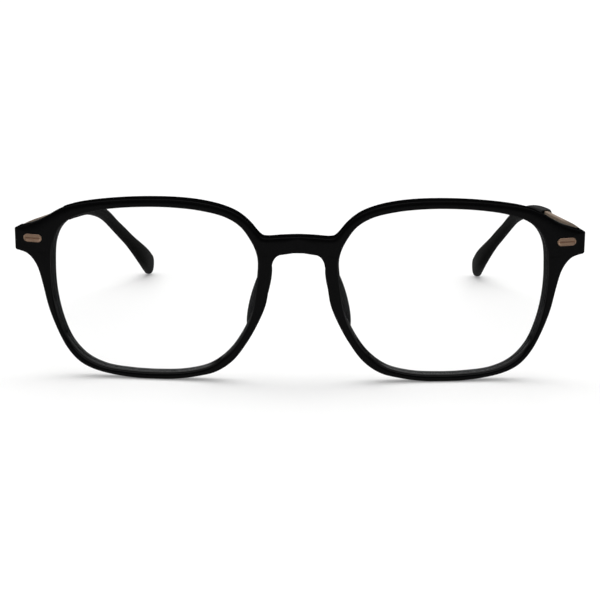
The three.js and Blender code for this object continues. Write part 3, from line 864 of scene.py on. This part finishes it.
# Painted dark reflections, black sheets that only the gloss mirrors: half width, bottom and top of
# each, and the y that they all stand at.
DARK_REFLECTION_SHEETS = ((0.012, 0.03, 0.0385), (0.3, 0.0385, 0.9))
DARK_SHEETS_Y = -0.03
# Painted dim reflection, a faintly glowing sheet just under the floor and behind the front that
# only the gloss mirrors: half width, front y and rear y.
DIM_REFLECTION_SHEET = (0.5, -0.045, 0.2)
# How far under the floor the painted reflection's sheet lies, and how brightly it glows.
DIM_SHEET_DEPTH = 0.003
DIM_SHEET_GLOW = 0.07
LAMP = dict(energy=1.85, angle=math.radians(70), way=(0, -0.45, -1))

scene = bpy.context.scene
floor_mesh = bpy.data.meshes.new("floor")
reach = FLOOR["reach"]
floor_mesh.from_pydata([(-reach, -reach, 0), (reach, -reach, 0), (reach, reach, 0),
                        (-reach, reach, 0)], [], [(0, 1, 2, 3)])
floor = bpy.data.objects.new("floor", floor_mesh)
floor_look, floor_shader = material("floor_white", FLOOR["colour"], 0.9, specular=0.1)
floor_shader.inputs["Emission Color"].default_value = (1, 1, 1, 1)
floor_shader.inputs["Emission Strength"].default_value = FLOOR["glow"]
floor_mesh.materials.append(floor_look)
floor.location.z = -FLOOR["below"]
floor.visible_glossy = False
scene.collection.objects.link(floor)

world = bpy.data.worlds.new("studio")
scene.world = world
world.use_nodes = True
tree = world.node_tree
direction = tree.nodes.new("ShaderNodeTexCoord")
split = tree.nodes.new("ShaderNodeSeparateXYZ")
tree.links.new(direction.outputs["Generated"], split.inputs[0])


def combined(operation, a, b=None):
    node = tree.nodes.new("ShaderNodeMath")
    node.operation = operation
    for socket, value in zip(node.inputs, (a, b)):
        if value is not None:
            tree.links.new(value, socket)
    return node.outputs[0]


height = ranged(world, split.outputs["Z"], 0, 1, -1, 1)
tent = tree.nodes.new("ShaderNodeValToRGB")
for place, level in TENT[1:-1]:
    tent.color_ramp.elements.new(place)
for element, (place, level) in zip(tent.color_ramp.elements, TENT):
    element.position = place
    element.color = (level, level, level, 1)
tree.links.new(height, tent.inputs["Fac"])


def behind(panel):
    """The part of the tent's light that comes from a panel behind."""
    return combined("MULTIPLY", ranged(world, split.outputs["Z"], 0, panel["level"], *panel["up"]),
                    ranged(world, split.outputs["Y"], 0, 1, *panel["rear"]))


rear_panel = behind(PANEL)
outward_share = combined("ABSOLUTE", split.outputs["X"])
side_panels = ranged(world, outward_share, 0, SIDES["level"], *SIDES["out"])
rear_band = behind(BAND)
level = combined("ADD", combined("ADD", tent.outputs["Color"], rear_panel),
                 combined("ADD", rear_band, side_panels))


def background(colour):
    made = tree.nodes.new("ShaderNodeBackground")
    made.inputs["Color"].default_value = (colour, colour, colour, 1)
    return made.outputs[0]


def either(choice, a, b):
    node = tree.nodes.new("ShaderNodeMixShader")
    for value, socket in zip((choice, a, b), node.inputs):
        tree.links.new(value, socket)
    return node.outputs[0]


path = tree.nodes.new("ShaderNodeLightPath").outputs
mirrored_tent = tree.nodes["Background"]
tree.links.new(level, mirrored_tent.inputs["Color"])
seen = either(path["Is Camera Ray"], mirrored_tent.outputs[0], background(BACKDROP))
seen = either(path["Is Diffuse Ray"], seen, background(MATT_LIGHT))
tree.links.new(seen, tree.nodes["World Output"].inputs["Surface"])

# One very broad lamp high behind the object, which the gloss doesn't mirror.
lamp_data = bpy.data.lights.new("broad_lamp", "SUN")
lamp_data.energy = LAMP["energy"]
lamp_data.angle = LAMP["angle"]
lamp = bpy.data.objects.new("broad_lamp", lamp_data)
lamp.rotation_mode = "QUATERNION"
lamp.rotation_quaternion = Vector(LAMP["way"]).to_track_quat("-Z", "Y")
lamp.visible_glossy = False
scene.collection.objects.link(lamp)


def hang_reflection_sheets(name, corners, level):
    """Sheets near the object, one for every four corners, that only the gloss's mirroring sees:
    painted dark or dim reflections.
    """
    mesh = bpy.data.meshes.new(name)
    mesh.from_pydata(corners, [], [tuple(range(i, i + 4)) for i in range(0, len(corners), 4)])
    look, shader = material(name, (0.0, 0.0, 0.0), 1.0, specular=0.0)
    shader.inputs["Emission Color"].default_value = (1, 1, 1, 1)
    shader.inputs["Emission Strength"].default_value = level
    mesh.materials.append(look)
    reflection_sheet = bpy.data.objects.new(name, mesh)
    reflection_sheet.visible_camera = False
    reflection_sheet.visible_diffuse = False
    reflection_sheet.visible_shadow = False
    reflection_sheet.visible_transmission = False
    scene.collection.objects.link(reflection_sheet)


# Painted dark reflections on the gloss, from black sheets that nothing else sees.
hang_reflection_sheets("painted_dark_reflection_sheets", [(x, DARK_SHEETS_Y, z) for wide, bottom, top in DARK_REFLECTION_SHEETS for x, z in
                              ((-wide, bottom), (wide, bottom), (wide, top), (-wide, top))], 0.0)
# Painted dim reflection on the gloss, from a faintly glowing sheet under the floor.
wide, near, far = DIM_REFLECTION_SHEET
hang_reflection_sheets("painted_dim_reflection_sheet", [(x, y, -DIM_SHEET_DEPTH) for x, y in
                          ((-wide, near), (wide, near), (wide, far), (-wide, far))], DIM_SHEET_GLOW)
scene.view_settings.view_transform = "Standard"
scene.view_settings.look = "None"

# The camera looks near the middle of the front. AIM is across, behind its foremost point, and up
# from its middle height.
CAMERA_DISTANCE = 0.450
CAMERA_ELEVATION = math.radians(11.2)
CAMERA_AZIMUTH = math.radians(1.2)
CAMERA_ROLL = math.radians(0.232)
CAMERA_LENS = 109.2
AIM = (0.0004, 0.0038, -0.0025)

low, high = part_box("front_frame")
aim = Vector((AIM[0], low[1] + AIM[1], (low[2] + high[2]) / 2 + AIM[2]))
back = Vector((math.sin(CAMERA_AZIMUTH) * math.cos(CAMERA_ELEVATION),
               -math.cos(CAMERA_AZIMUTH) * math.cos(CAMERA_ELEVATION),
               math.sin(CAMERA_ELEVATION)))
camera_data = bpy.data.cameras.new("camera")
camera_data.lens = CAMERA_LENS
camera_data.sensor_width = 36
camera_data.clip_start = 0.01
camera_data.clip_end = 20
camera = bpy.data.objects.new("camera", camera_data)
right = (-back).cross(Vector((0, 0, 1))).normalized()
up = right.cross(-back)
turned_right = right * math.cos(CAMERA_ROLL) + up * math.sin(CAMERA_ROLL)
turned_up = up * math.cos(CAMERA_ROLL) - right * math.sin(CAMERA_ROLL)
camera.matrix_world = (Matrix.Translation(aim + back * CAMERA_DISTANCE)
                       @ Matrix((turned_right, turned_up, back)).transposed().to_4x4())
scene.collection.objects.link(camera)
scene.camera = camera
